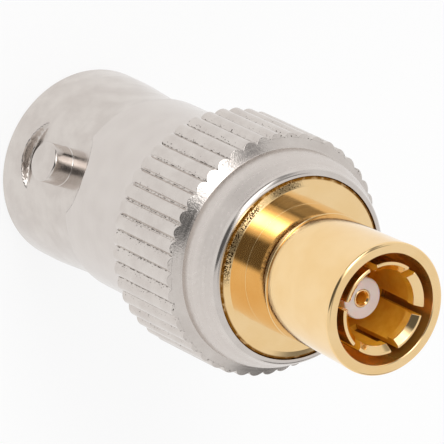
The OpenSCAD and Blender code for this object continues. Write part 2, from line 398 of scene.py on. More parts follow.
@dataclass(frozen=True)
class Place:
    """Sockets that say where a point of a surface lies.

    Attributes:
        point: Place in the part's frame, in metres.
        radius: Distance from the axis, in metres.
        height: Height along the axis, in metres.
        angle: Angle about the axis, in radians.
    """

    point: NodeSocket
    radius: NodeSocket
    height: NodeSocket
    angle: NodeSocket

    @classmethod
    def of(cls, tree: NodeTree) -> Place:
        """Work the place out from Object coordinates.

        Args:
            tree: The material's tree, which gets the nodes.

        Returns:
            The sockets.
        """
        point = node(tree, "TexCoord", out="Object")
        axes = node(tree, "SeparateXYZ", {0: point}).node.outputs
        level = node(tree, "VectorMath", {0: point, 1: (1, 1, 0)}, operation="MULTIPLY")
        radius = node(tree, "VectorMath", {0: level}, out="Value", operation="LENGTH")
        angle = node(tree, "Math", {0: axes["Y"], 1: axes["X"]}, operation="ARCTAN2")
        return cls(point, radius, axes["Z"], angle)


@dataclass(frozen=True)
class Zone:
    """Ring-shaped zone about the axis.

    Attributes:
        radius: Lowest and highest radius, in millimetres.
        height: Lowest and highest height, in millimetres.
        fade: Width over which it fades out past its borders, in millimetres.
        angle: Lowest and highest angle about the axis, in degrees.
        angle_fade: Angle over which it fades out past those, in degrees.
    """

    radius: tuple[float, float]
    height: tuple[float, float]
    fade: float = 0.02
    angle: tuple[float, float] = (-180, 180)
    angle_fade: float = 12

    def holds(self, points: np.ndarray) -> np.ndarray:
        """Tell which points lie between the zone's radii and heights, at any angle.

        Args:
            points: Places in millimetres, shape (points, 3).

        Returns:
            True or False for each point.
        """
        radius, height = np.hypot(points[:, 0], points[:, 1]), points[:, 2]
        inside = (radius >= self.radius[0]) & (radius <= self.radius[1])
        return inside & (height >= self.height[0]) & (height <= self.height[1])

    def mask(self, tree: NodeTree, place: Place) -> NodeSocket:
        """Make a mask that is 1 in the zone and 0 past its fade.

        Args:
            tree: The material's tree.
            place: Sockets that say where a point lies.

        Returns:
            The mask's socket.
        """
        total: object = 1.0
        for value, (low, high), fade, unit in (
            (place.radius, self.radius, self.fade, METRES),
            (place.height, self.height, self.fade, METRES),
            (place.angle, self.angle, self.angle_fade, math.radians(1)),
        ):
            middle, half = (low + high) / 2, (high - low) / 2
            offset = node(tree, "Math", {0: value, 1: middle * unit}, operation="SUBTRACT")
            away = node(tree, "Math", {0: offset}, operation="ABSOLUTE")
            share = node(tree, "MapRange", {0: away, 1: (half + fade) * unit, 2: half * unit})
            total = node(tree, "Math", {0: share, 1: total}, operation="MULTIPLY")
        return total


@dataclass(frozen=True)
class Specks:
    """Specks of another colour that gather in one zone: dirt, tarnish, painted shade, or a duller skin.

    Attributes:
        zone: Where they gather.
        colour: Their colour, sRGB hex.
        grain_mm: Size of a speck.
        noise: Noise levels where a speck starts and where it is full.
        dull: Roughness that a full speck adds.
    """

    zone: Zone
    colour: str
    grain_mm: float
    noise: tuple[float, float]
    dull: float = 0.4


@dataclass(frozen=True)
class Torn:
    """Metal that a cutter left torn and rippled in one zone.

    Attributes:
        zone: Where the metal is torn.
        grain_mm: Width of the ripples.
        depth_mm: Depth of the ripples.
    """

    zone: Zone
    grain_mm: float
    depth_mm: float


@dataclass(frozen=True)
class Finish:
    """What a surface is dressed in.

    Attributes:
        name: Name of the material.
        slot: The record's slot that it belongs to.
        colour: Usual colour, sRGB hex.
        second: Colour of its cloudy patches, sRGB hex.
        rough: Lowest and highest roughness.
        cloud_mm: Width of the cloudy patches.
        mark_mm: Spacing of the lathe marks, drawn coarse enough to show.
        mark_depth_mm: Depth of the lathe marks.
        specks: Zones with specks.
        torn: Zones with torn metal.
    """

    name: str
    slot: Slot
    colour: str
    second: str
    rough: tuple[float, float]
    cloud_mm: float
    mark_mm: float
    mark_depth_mm: float
    specks: tuple[Specks, ...] = ()
    torn: tuple[Torn, ...] = ()

    def material(self) -> Material:
        """Return the finish's material, made at its first use."""
        return bpy.data.materials.get(self.name) or self._made()

    def _made(self) -> Material:
        """Make the material: cloudy colour, and lathe marks in the roughness and the bump.

        The marks are noise over radius and height that hardly changes round the axis, as a turning tool
        leaves them.

        Returns:
            The new material.
        """
        material = bpy.data.materials.new(self.name)
        material.use_nodes = True
        tree = material.node_tree
        shader = tree.nodes["Principled BSDF"]
        place = Place.of(tree)
        pitch = self.mark_mm * METRES
        across = node(tree, "Math", {0: place.radius, 1: pitch}, operation="DIVIDE")
        along = node(tree, "Math", {0: place.height, 1: pitch}, operation="DIVIDE")
        lathe = node(tree, "CombineXYZ", {0: across, 1: along, 2: place.angle})
        marks = node(tree, "TexNoise", {"Vector": lathe, "Scale": 1.0, "Detail": NOISE_DETAIL})
        fine = {"Vector": place.point, "Detail": NOISE_DETAIL}
        clouds = node(tree, "TexNoise", {**fine, "Scale": 1 / (self.cloud_mm * METRES)})
        patches = node(tree, "MapRange", {0: clouds, 1: CLOUD_NOISE[0], 2: CLOUD_NOISE[1]})
        tints = {0: patches, 6: linear(self.colour), 7: linear(self.second)}
        colour = node(tree, "Mix", tints, out=2, data_type="RGBA")
        rough = node(tree, "MapRange", dict(enumerate([marks, *MARK_NOISE, *self.rough])))
        deep = self.mark_depth_mm * METRES
        bump = node(tree, "Bump", {"Height": marks, "Strength": 1.0, "Distance": deep})
        for specks in self.specks:
            grain = node(tree, "TexNoise", {**fine, "Scale": 1 / (specks.grain_mm * METRES)})
            dots = node(tree, "MapRange", {0: grain, 1: specks.noise[0], 2: specks.noise[1]})
            mask = specks.zone.mask(tree, place)
            amount = node(tree, "Math", {0: dots, 1: mask}, operation="MULTIPLY")
            tints = {0: amount, 6: colour, 7: linear(specks.colour)}
            colour = node(tree, "Mix", tints, out=2, data_type="RGBA")
            rough = node(tree, "Math", {0: amount, 1: specks.dull, 2: rough}, operation="MULTIPLY_ADD")
        for torn in self.torn:
            grain = node(tree, "TexNoise", {**fine, "Scale": 1 / (torn.grain_mm * METRES)})
            mask, deep = torn.zone.mask(tree, place), torn.depth_mm * METRES
            ripples = {"Height": grain, "Strength": mask, "Distance": deep, "Normal": bump}
            bump = node(tree, "Bump", ripples)
        tree.links.new(colour, shader.inputs["Base Color"])
        tree.links.new(rough, shader.inputs["Roughness"])
        tree.links.new(bump, shader.inputs["Normal"])
        self.dress(shader)
        return material

    def dress(self, shader: Node) -> None:
        """Set what is the same all over the surface."""
        raise NotImplementedError


@dataclass(frozen=True)
class Plating(Finish):
    """Electroplated metal.

    Attributes:
        metallic: 1 for full plating, less where it is thin and dull.
    """

    metallic: float = 1.0

    def dress(self, shader: Node) -> None:
        """Make the shader a metal."""
        shader.inputs["Metallic"].default_value = self.metallic


@dataclass(frozen=True)
class TurnedPolymer(Finish):
    """White fluoropolymer, turned from rod: waxy, and slightly translucent.

    Attributes:
        ior: Index of refraction, low for a polymer.
        scatter: Share of the light that scatters inside.
        scatter_mm: Depth that it reaches.
    """

    ior: float = 1.38
    scatter: float = 0.25
    scatter_mm: float = 0.4

    def dress(self, shader: Node) -> None:
        """Give the shader the polymer's index and its scatter.

        Args:
            shader: The material's shader.
        """
        shader.inputs["IOR"].default_value = self.ior
        shader.inputs["Subsurface Weight"].default_value = self.scatter
        shader.inputs["Subsurface Scale"].default_value = self.scatter_mm * METRES


# Where the finishes change: the knurl's grooves and their bottoms, which get painted shade, the grip's
# chamfer beside the hub, the hub's wall, the neck, and the flange's slope on its two dirty sides and along
# its rim
# Painted shade: the grooves' bottoms and flanks are darkened where shade falls in the knurl
SHADED_GROOVE_BOTTOMS = Zone((5.74, 5.80), (11.7, 16.7), 0.02)
SHADED_GROOVES = Zone((5.76, 5.90), (11.7, 16.7), 0.06)
GRIP_CHAMFER = Zone((5.4, 6.1), (16.55, 17.0), 0.04)
HUB_WALL = Zone((4.9, 5.5), (16.99, 18.6), 0.1)
NECK = Zone((4.75, 4.95), (5.9, 11.6), 0.02)
SLOPE_BY_LUG = Zone((4.12, 4.5), (18.7, 19.2), 0.05, (-28, 14))
SLOPE_BESIDE = Zone((4.12, 4.5), (18.7, 19.2), 0.05, (-62, -46), 6)
FLANGE_RIM = Zone((4.38, 4.6), (18.7, 19.2), 0.06)

# Bright nickel over turned brass: a warm grey mirror, softened by tumbling before the bath, with painted
# shade in the knurl's grooves and torn metal on the chamfer by the hub
NICKEL = Plating(
    name="bright_nickel_plating",
    slot=Slot.NICKEL,
    colour="#d8d1cb",
    second="#cfc7c1",
    rough=(0.12, 0.24),
    cloud_mm=1.0,
    mark_mm=0.09,
    mark_depth_mm=0.0006,
    specks=(
        # Painted shade in the knurl's grooves
        Specks(SHADED_GROOVE_BOTTOMS, "#5c534c", grain_mm=0.2, noise=(0.42, 0.62)),
        Specks(SHADED_GROOVES, "#4c443e", grain_mm=0.11, noise=(0.64, 0.68)),
        Specks(HUB_WALL, "#d8d0ca", grain_mm=0.2, noise=(0.1, 0.6), dull=0.2),
        Specks(NECK, "#dad3ce", grain_mm=0.5, noise=(0.1, 0.9), dull=0.0),
    ),
    torn=(Torn(GRIP_CHAMFER, grain_mm=0.08, depth_mm=0.006),),
)
# Bright gold over nickel: a yellow mirror that turns orange where it mirrors itself, with dark specks on the
# flange's slope and its rim browner along the seam where it was pressed in
GOLD = Plating(
    name="bright_gold_plating",
    slot=Slot.GOLD,
    colour="#f8d7a2",
    second="#f5d198",
    rough=(0.05, 0.14),
    cloud_mm=1.4,
    mark_mm=0.08,
    mark_depth_mm=0.0005,
    specks=(
        Specks(SLOPE_BY_LUG, "#2e1c06", grain_mm=0.07, noise=(0.4, 0.54)),
        Specks(SLOPE_BESIDE, "#2e1c06", grain_mm=0.07, noise=(0.44, 0.58)),
        Specks(FLANGE_RIM, "#8a5a16", grain_mm=0.3, noise=(0.1, 0.5)),
    ),
)
# Gold in the bores, with painted shade and bounce light: brown, and part diffuse so that the bores light up
# instead of going black
SHADED_INNER_GOLD = Plating(
    name="shaded_inner_gold_plating",
    slot=Slot.GOLD,
    colour="#eab458",
    second="#dfa548",
    rough=(0.14, 0.24),
    cloud_mm=0.7,
    mark_mm=0.08,
    mark_depth_mm=0.0001,
    metallic=0.7,
)
# Gold in the sockets, with painted bounce light: amber and nearly diffuse, bright as light thrown about
# inside would make it
BOUNCE_LIT_GOLD = Plating(
    name="bounce_lit_gold_plating",
    slot=Slot.GOLD,
    colour="#ffc440",
    second="#f5b434",
    rough=(0.16, 0.26),
    cloud_mm=0.5,
    mark_mm=0.08,
    mark_depth_mm=0.0002,
    metallic=0.15,
)
# Sintered fluoropolymer rod, turned: pinkish white, dull, with faint rings
WHITE = TurnedPolymer(
    name="turned_fluoropolymer",
    slot=Slot.WHITE,
    colour="#eee4e1",
    second="#e6dbd8",
    rough=(0.38, 0.5),
    cloud_mm=0.8,
    mark_mm=0.06,
    mark_depth_mm=0.001,
)


# Pieces


@dataclass
class JackBody:
    """Nickel-plated body: barrel with lug band, lugs and flats, neck, knurled grip, hub and socket."""

    # Barrel and neck
    barrel_r: float = 4.85
    front_l: float = 1.7
    taper_l: float = 2.9
    taper_bend: float = 12.0
    band_l: float = 1.3
    band_depth: float = 0.19
    neck_r: float = 4.875
    neck_edge: float = 0.13
    # Mouth, lip and the bead's bore
    mouth_edge: float = 0.25
    mouth_r: float = 4.05
    mouth_depth: float = 5.4
    mouth_chamfer: float = 0.25
    mouth_floor: float = 0.1
    lip_r: float = 3.2
    lip_l: float = 1.0
    bead_r: float = 3.51
    seat_z: float = 14.0
    # Lugs, and the flats that they stand on
    lug_z: float = 4.2
    lug_r: float = 0.975
    lug_root: float = 4.2
    lug_tip: float = 5.5
    lug_edge: float = 0.12
    lug_foot: float = 0.03
    foot_edge: float = 0.01
    spot_r: float = 2.6
    flat_depth: float = 0.44
    spot_wall: float = 0.12
    # Grip, whose ends are buried in the neck and the hub
    grip_r: float = 6.0
    grip_z: float = 11.55
    hub_z: float = 16.97
    grip_chamfer: float = 0.37
    ridge_count: int = 46
    ridge_depth: float = 0.22
    ridge_turn: float = math.radians(1.9)
    ridge_edge: float = 0.05
    buried_r: float = 0.3
    buried_l: float = 0.25
    buried_edge: float = 0.01
    # Hub and the plug's socket
    hub_r: float = 5.35
    hub_taper_l: float = 1.33
    hub_end_r: float = 4.74
    hub_bend: float = 2.0
    hub_round: float = 0.3
    face_z: float = 18.93
    socket_r: float = 4.51
    # Grid: points in a corner, corners up to the neck, row spacing and half angle where the flats are,
    # columns across a flat and across the barrel between the flats, columns and corner points of a ridge
    corner_steps: int = 8
    wall_corners: int = 6
    spot_row: float = 0.05
    spot_angle: float = 26.0
    spot_columns: int = 96
    side_columns: int = 43
    ridge_columns: int = 14
    ridge_steps: int = 5

    @property
    def flat_x(self) -> float:
        """Distance of the lugs' flats from the axis."""
        return self.barrel_r - self.flat_depth

    @property
    def hub_slope(self) -> float:
        """Fall of the grip's chamfer on the hub's side, per millimetre outwards."""
        return self.grip_chamfer / (self.grip_r - self.hub_r)

    def build(self) -> list[Object]:
        """Build and dress the body as one piece of four shells."""
        shells = [self._turned_shell(), self._grip_shell(), *self._lug_shells()]
        return [make_piece("jack_body_plated", "jack_body", shells, NICKEL)]

    def _turned_shell(self) -> Shell:
        """Everything turned in one go, with the flats cut round the lugs.

        The rows crowd over the height of the flats, and the columns over their width.

        Returns:
            The closed shell.
        """
        band_r, taper_z = self.barrel_r - self.band_depth, self.front_l + self.taper_l
        neck_z = taper_z + self.band_l
        lip_z, buried_z = self.mouth_depth + self.lip_l, self.grip_z + self.grip_chamfer
        line = outline([
            (self.barrel_r, 0, self.mouth_edge),
            (self.barrel_r, self.front_l, self.taper_bend),
            (band_r, taper_z, self.taper_bend),
            (band_r, neck_z, Edge.BROKEN),
            (self.neck_r, neck_z, self.neck_edge),
            (self.neck_r, buried_z, Edge.CRISP),
            (self.hub_r, buried_z, Edge.CRISP),
            (self.hub_r, self.face_z - self.hub_taper_l, self.hub_bend),
            (self.hub_end_r, self.face_z, self.hub_round),
            (self.socket_r, self.face_z, Edge.CRISP),
            (self.socket_r, self.seat_z, Edge.SOFT),
            (self.bead_r, self.seat_z, Edge.SOFT),
            (self.bead_r, lip_z, Edge.SOFT),
            (self.lip_r, lip_z, Edge.SOFT),
            (self.lip_r, self.mouth_depth, Edge.ROUND),
            (self.mouth_r, self.mouth_depth, self.mouth_floor),
            (self.mouth_r, self.mouth_chamfer, Edge.SOFT),
            (self.mouth_r + self.mouth_chamfer, 0, Edge.EASED),
        ], self.corner_steps)
        way = np.concatenate([[0], np.cumsum(np.linalg.norm(np.diff(line, axis=0), axis=1))])
        wall, reach = self.wall_corners * self.corner_steps, self.spot_r + self.spot_wall
        fine = np.arange(self.lug_z - reach, self.lug_z + reach, self.spot_row)
        stops = np.unique(np.concatenate([way, np.interp(fine, line[:wall, 1], way[:wall])]))
        radius = np.interp(stops, way, line[:, 0])[:, None]
        height = np.interp(stops, way, line[:, 1])[:, None]
        edge = math.radians(self.spot_angle)
        near = np.linspace(-edge, edge, self.spot_columns, endpoint=False)
        far = np.linspace(edge, math.pi - edge, self.side_columns, endpoint=False)
        angles = np.concatenate([near, far, near + math.pi, far + math.pi])
        return ring_shell(self._spot_faced(radius, height, angles), height, angles)

    def _spot_faced(self, radius: np.ndarray, height: np.ndarray, angles: np.ndarray) -> np.ndarray:
        """Lower the barrel to a flat round each lug.

        On the plane x = flat_x the radius is flat_x / cos(angle). The barrel comes down to it inside a circle
        about the lug's axis, and the share of the cut falls smoothly to nothing across the circle's wall.

        Args:
            radius: Radius before the cut, shape (rows, 1).
            height: Height, shape (rows, 1).
            angles: Angle of each column.

        Returns:
            The radius after the cut, shape (rows, columns).
        """
        plane = self.flat_x / np.maximum(np.abs(np.cos(angles)), 0.1)
        away = np.hypot(radius * np.sin(angles), height - self.lug_z) - self.spot_r
        share = np.clip(away / self.spot_wall + 0.5, 0, 1)
        share = share * share * (3 - 2 * share)
        return radius - (1 - share) * np.maximum(radius - plane, 0)

    def _grip_shell(self) -> Shell:
        """Knurled grip: a ring whose outer radius follows the ridges.

        A ridge's back is a circle that touches the grip's radius and meets its neighbour at the bottom of
        the groove. With its centre at radius c and its own radius b, its radius at the angle a from the crest
        is c cos(a) + sqrt(b^2 - c^2 sin(a)^2). At both ends a cone cuts the ridges, deeper at the crests.

        Returns:
            The closed shell.
        """
        half_pitch = math.pi / self.ridge_count
        bottom = self.grip_r - self.ridge_depth
        fall, half_w = self.grip_r - bottom * math.cos(half_pitch), bottom * math.sin(half_pitch)
        back_r = (fall * fall + half_w * half_w) / (2 * fall)
        centre = self.grip_r - back_r
        off = np.linspace(-half_pitch, half_pitch, self.ridge_columns, endpoint=False)
        ridge = centre * np.cos(off) + np.sqrt(back_r**2 - (centre * np.sin(off)) ** 2)
        crests = self.ridge_turn + full_turn(self.ridge_count)
        angles = (crests[:, None] + off[None, :]).ravel()
        ridge = np.tile(ridge, self.ridge_count)
        neck_slope = self.grip_chamfer / (self.grip_r - self.neck_r)
        corners = [
            (self.neck_r - self.buried_r, self.grip_z + self.buried_l),
            (self.neck_r, self.grip_z),
            (ridge, self.grip_z + (ridge - self.neck_r) * neck_slope),
            (ridge, self.hub_z - (ridge - self.hub_r) * self.hub_slope),
            (self.hub_r, self.hub_z),
            (self.hub_r - self.buried_r, self.hub_z - self.buried_l),
        ]
        table = np.stack([np.stack(np.broadcast_arrays(r, z, ridge)[:2], axis=-1) for r, z in corners])
        hidden, seen = [self.buried_edge] * 2, [self.ridge_edge] * 2
        line = rounded(table, np.array(hidden + seen + hidden), self.ridge_steps)
        return ring_shell(line[..., 0], line[..., 1], angles)

    def _lug_shells(self) -> list[Shell]:
        """Both lugs, turned about the axis that runs across the barrel, each with a small foot on its flat.

        Returns:
            One closed shell for each lug.
        """
        foot_r = self.lug_r + self.lug_foot
        lug = capped([
            (0, self.lug_root, 0),
            (foot_r, self.lug_root, Edge.CRISP),
            (foot_r, self.flat_x, self.foot_edge),
            (self.lug_r, self.flat_x + self.lug_foot, Edge.EASED),
            (self.lug_r, self.lug_tip, self.lug_edge),
            (0, self.lug_tip, 0),
        ])
        across = np.array([[0, 0, 1], [1, 0, 0], [0, 1, 0]], float)
        half_turn = np.diag([-1.0, -1.0, 1.0])
        side = lug.moved(across)
        side.points[:, 2] += self.lug_z
        return [side, side.moved(half_turn)]


@dataclass
class JackCore:
    """White bead in the jack's mouth and its sawn centre socket."""

    nose_r: float = 2.35
    nose_z: float = 0.3
    nose_edge: float = 0.12
    neck_r: float = 3.19
    neck_z: float = 5.4
    bead_r: float = 3.5
    bead_z: float = 6.4
    seat_z: float = 14.0
    hole_r: float = 1.06
    collar_hole_r: float = 1.41
    collar_l: float = 1.0
    contact_r: float = 1.05
    contact_z: float = 0.5
    contact_collar_r: float = 1.4
    bore_r: float = 0.68
    bore_l: float = 5.0
    bore_edge: float = 0.1
    tail_hole_r: float = 0.45
    tail_l: float = 2.5
    cut_w: float = 0.25
    cut_l: float = 3.5
    cut_edge: float = 0.03
    cut_angles: tuple[float, ...] = (-90.0, 90.0)

    def build(self) -> list[Object]:
        """Build and dress the bead and the contact.

        Returns:
            Both pieces.
        """
        collar_z = self.seat_z - self.collar_l
        bead = turned([
            (self.hole_r, self.nose_z, Edge.SOFT),
            (self.nose_r, self.nose_z, self.nose_edge),
            (self.nose_r, self.neck_z, Edge.ROUND),
            (self.neck_r, self.neck_z, Edge.SOFT),
            (self.neck_r, self.bead_z, Edge.BROKEN),
            (self.bead_r, self.bead_z, Edge.SOFT),
            (self.bead_r, self.seat_z, Edge.SOFT),
            (self.collar_hole_r, self.seat_z, Edge.BROKEN),
            (self.collar_hole_r, collar_z, Edge.BROKEN),
            (self.hole_r, collar_z, Edge.BROKEN),
        ])
        return [
            make_piece("jack_bead", "jack_insulator", [bead], WHITE),
            make_piece("jack_centre_socket", "jack_contact", self._contact_shells(), GOLD),
        ]

    def _contact_shells(self) -> list[Shell]:
        """Two sawn leaves at the mouth, the tube behind them, and the collar's end with the tail's hole.

        Returns:
            The closed shells.
        """
        root_z, floor_z = self.contact_z + self.cut_l, self.contact_z + self.bore_l
        collar_z, hole_z = self.seat_z - self.collar_l, self.seat_z - self.tail_l
        leaf = outline([
            (self.bore_r, self.contact_z, self.bore_edge),
            (self.contact_r, self.contact_z, Edge.ROUND),
            (self.contact_r, root_z, Edge.BUTTED),
            (self.bore_r, root_z, Edge.BUTTED),
        ])
        tube = capped([
            (0, floor_z, 0),
            (self.bore_r, floor_z, Edge.BROKEN),
            (self.bore_r, root_z, Edge.BUTTED),
            (self.contact_r, root_z, Edge.BUTTED),
            (self.contact_r, collar_z, Edge.BROKEN),
            (self.contact_collar_r, collar_z, Edge.SOFT),
            (self.contact_collar_r, self.seat_z, Edge.SOFT),
            (self.tail_hole_r, self.seat_z, Edge.BROKEN),
            (self.tail_hole_r, hole_z, Edge.BROKEN),
            (0, hole_z, 0),
        ])
        return [*fingers(leaf, np.radians(self.cut_angles), self.cut_w / 2, self.cut_edge), tube]


@dataclass
class PlugShell:
    """Gold-plated plug body with flange and collar, and the trumpet-shaped shroud on it."""

    flange_r: float = 4.5
    flange_z: float = 19.08
    flange_edge: float = 0.1
    slope_w: float = 0.44
    slope_l: float = 0.22
    collar_r: float = 3.2
    corner_round: float = 0.015
    seam_z: float = 20.8
    seam_edge: float = 0.035
    spigot_r: float = 2.695
    spigot_z: float = 22.3
    collet_hole_r: float = 2.295
    collet_seat_z: float = 18.6
    bore_r: float = 1.61
    seat_z: float = 14.0
    shroud_r: float = 3.14
    shroud_rim_r: float = 3.25
    shroud_bore_r: float = 2.705
    rim_z: float = 26.0
    rim_round: float = 0.2
    rim_edge: float = 0.07
    skin: float = 0.01
    shaded_from: float = 0.1
    columns: int = 192

    def build(self) -> list[Object]:
        """Build and dress the plug body and the shroud, with painted shade and bounce light inside.

        Returns:
            Both pieces.
        """
        body = turned([
            (self.flange_r, self.seat_z, Edge.SOFT),
            (self.flange_r, self.flange_z - self.slope_l, self.flange_edge),
            (self.flange_r - self.slope_w, self.flange_z, Edge.EASED),
            (self.collar_r, self.flange_z, self.corner_round),
            (self.collar_r, self.seam_z, self.seam_edge),
            (self.spigot_r, self.seam_z, Edge.CRISP),
            (self.spigot_r, self.spigot_z, Edge.SOFT),
            (self.collet_hole_r, self.spigot_z, Edge.SOFT),
            (self.collet_hole_r, self.collet_seat_z, Edge.BROKEN),
            (self.bore_r, self.collet_seat_z, Edge.BROKEN),
            (self.bore_r, self.seat_z, Edge.BROKEN),
        ], self.columns)
        # The bores get painted shade and bounce light, from the seat up to just below the rim
        heights = (self.seat_z, self.rim_z - self.shaded_from)
        inside = (SHADED_INNER_GOLD, Zone((0, self.spigot_r + self.skin), heights))
        bore = (SHADED_INNER_GOLD, Zone((0, self.shroud_bore_r + self.skin), heights))
        return [
            make_piece("plug_flange", "plug_body", [body], GOLD, inside),
            make_piece("plug_trumpet", "plug_shroud", [self._shroud_shell()], GOLD, bore),
        ]

    def _shroud_shell(self) -> Shell:
        """Shroud whose outside leaves the collar straight and opens on one wide arc.

        An arc that starts along the axis and gains the width w over the length l has the radius
        (l^2 + w^2) / 2w. It rounds the corner where its end tangents cross, which lies at the height
        radius * tan(arc angle / 2) above the seam.

        Returns:
            The closed shell.
        """
        length, gain = self.rim_z - self.seam_z, self.shroud_rim_r - self.shroud_r
        arc_r = (length * length + gain * gain) / (2 * gain)
        bend_z = self.seam_z + arc_r * math.tan(math.asin(length / arc_r) / 2)
        return turned([
            (self.shroud_r, self.seam_z, self.seam_edge),
            (self.shroud_r, bend_z, arc_r),
            (self.shroud_rim_r, self.rim_z, self.rim_round),
            (self.shroud_bore_r, self.rim_z, self.rim_edge),
            (self.shroud_bore_r, self.seam_z, Edge.CRISP),
        ], self.columns)


@dataclass
class PlugCollet:
    """Gold-plated spring tube of the plug, sawn into six fingers with lips at their tips."""

    outer_r: float = 2.285
    seat_z: float = 18.6
    tip_z: float = 25.9
    tip_edge: float = 0.07
    grasp_r: float = 1.85
    grasp_l: float = 0.5
    bevel: float = 0.28
    bevel_edge: float = 0.06
    spring_r: float = 2.01
    floor_z: float = 21.0
    floor_l: float = 0.4
    floor_hole_r: float = 1.2
    core_r: float = 1.61
    cut_count: int = 6
    cut_w: float = 0.4
    cut_l: float = 3.4
    cut_turn: float = math.radians(9.7)
    cut_edge: float = 0.035
    skin: float = 0.02
    bounce_lit_from: float = 0.1

    def build(self) -> list[Object]:
        """Build and dress the collet as its fingers and the tube that they spring from, with painted bounce
        light inside.

        Returns:
            The one piece.
        """
        root_z, bevel_z = self.tip_z - self.cut_l, self.tip_z - self.bevel
        finger = outline([
            (self.outer_r, root_z, Edge.BUTTED),
            (self.outer_r, self.tip_z, self.tip_edge),
            (self.grasp_r + self.bevel, self.tip_z, Edge.SOFT),
            (self.grasp_r, bevel_z, self.bevel_edge),
            (self.grasp_r, bevel_z - self.grasp_l, Edge.EASED),
            (self.spring_r, bevel_z - self.grasp_l, Edge.EASED),
            (self.spring_r, root_z, Edge.BUTTED),
        ])
        tube = turned([
            (self.core_r, self.seat_z, Edge.BROKEN),
            (self.outer_r, self.seat_z, Edge.SOFT),
            (self.outer_r, root_z, Edge.BUTTED),
            (self.spring_r, root_z, Edge.BUTTED),
            (self.spring_r, self.floor_z, Edge.ROUND),
            (self.floor_hole_r, self.floor_z, Edge.EASED),
            (self.floor_hole_r, self.floor_z - self.floor_l, Edge.BROKEN),
            (self.core_r, self.floor_z - self.floor_l, Edge.BROKEN),
        ])
        cuts = self.cut_turn + full_turn(self.cut_count)
        shells = [*fingers(finger, cuts, self.cut_w / 2, self.cut_edge), tube]
        # The collet's inside gets painted bounce light
        inside = Zone((0, self.outer_r - self.skin), (0, bevel_z - self.bounce_lit_from))
        return [make_piece("plug_spring_collet", "plug_collet", shells, GOLD, (BOUNCE_LIT_GOLD, inside))]


@dataclass
class PlugCore:
    """White insulator of the plug with the nose that shows, and the centre socket in it."""

    seat_z: float = 14.0
    core_r: float = 1.6
    core_z: float = 20.6
    step_r: float = 1.19
    floor_z: float = 21.0
    nose_r: float = 1.015
    nose_z: float = 24.1
    nose_edge: float = 0.07
    hole_r: float = 0.45
    collar_hole_r: float = 0.76
    collar_l: float = 1.0
    contact_r: float = 0.44
    contact_collar_r: float = 0.75
    tail_z: float = 11.5
    bore_r: float = 0.29
    bore_l: float = 2.6
    lead_in: float = 0.08
    skin: float = 0.01
    columns: int = 128

    def build(self) -> list[Object]:
        """Build and dress the insulator and the contact, whose bore gets painted bounce light.

        Returns:
            Both pieces.
        """
        collar_z = self.seat_z + self.collar_l
        insulator = turned([
            (self.collar_hole_r, self.seat_z, Edge.BROKEN),
            (self.core_r, self.seat_z, Edge.SOFT),
            (self.core_r, self.core_z, Edge.SOFT),
            (self.step_r, self.core_z, Edge.BROKEN),
            (self.step_r, self.floor_z, Edge.BROKEN),
            (self.nose_r, self.floor_z, Edge.BROKEN),
            (self.nose_r, self.nose_z, self.nose_edge),
            (self.hole_r, self.nose_z, Edge.BROKEN),
            (self.hole_r, collar_z, Edge.BROKEN),
            (self.collar_hole_r, collar_z, Edge.BROKEN),
        ], self.columns)
        contact = capped([
            (0, self.tail_z, 0),
            (self.contact_r, self.tail_z, Edge.ROUND),
            (self.contact_r, self.seat_z, Edge.BROKEN),
            (self.contact_collar_r, self.seat_z, Edge.EASED),
            (self.contact_collar_r, collar_z, Edge.EASED),
            (self.contact_r, collar_z, Edge.BROKEN),
            (self.contact_r, self.nose_z, Edge.EASED),
            (self.bore_r + self.lead_in, self.nose_z, Edge.CRISP),
            (self.bore_r, self.nose_z - self.lead_in, Edge.BROKEN),
            (self.bore_r, self.nose_z - self.bore_l, Edge.BROKEN),
            (0, self.nose_z - self.bore_l, 0),
        ])
        # The contact's bore gets painted bounce light
        bore = Zone((0, self.bore_r + self.skin), (self.seat_z, self.nose_z - self.lead_in))
        return [
            make_piece("plug_white_nose", "plug_insulator", [insulator], WHITE),
            make_piece("plug_centre_socket", "plug_contact", [contact], GOLD, (BOUNCE_LIT_GOLD, bore)),
        ]


# Stage


@dataclass
class PhotoCamera:
    """Camera at the photograph's place, found by fitting circles on the axis to the photograph.

    Attributes:
        azimuth: Angle of the camera about the axis, from +X, in degrees.
        elevation: Angle of the camera above the level plane, in degrees.
        roll: Turn of the camera about its line of sight, in degrees.
        distance: Distance from the point that it aims at, in millimetres.
        aim: The point in the middle of the picture, in millimetres.
        lens: Focal length, in millimetres.
        sensor: Width of the sensor, in millimetres.
        clip: Nearest and farthest distance that it sees, in metres.
    """

    azimuth: float = -7.912
    elevation: float = 52.174
    roll: float = 115.816
    distance: float = 324.5
    aim: tuple[float, float, float] = (6.677, -1.289, 20.727)
    lens: float = 567.57
    sensor: float = 36.0
    clip: tuple[float, float] = (0.01, 10.0)

    def build(self) -> Object:
        """Make the camera and give it to the scene.

        Returns:
            The camera.
        """
        a, e = math.radians(self.azimuth), math.radians(self.elevation)
        back = Vector((math.cos(a) * math.cos(e), math.sin(a) * math.cos(e), math.sin(e)))
        data = bpy.data.cameras.new("photo_camera")
        data.lens, data.sensor_width = self.lens, self.sensor
        data.clip_start, data.clip_end = self.clip
        camera = bpy.data.objects.new("photo_camera", data)
        bpy.context.scene.collection.objects.link(camera)
        level = (-back).to_track_quat("-Z", "Y").to_matrix().to_4x4()
        place = Matrix.Translation((Vector(self.aim) + back * self.distance) * METRES)
        camera.matrix_world = place @ level @ Matrix.Rotation(math.radians(self.roll), 4, "Z")
        bpy.context.scene.camera = camera
        return camera


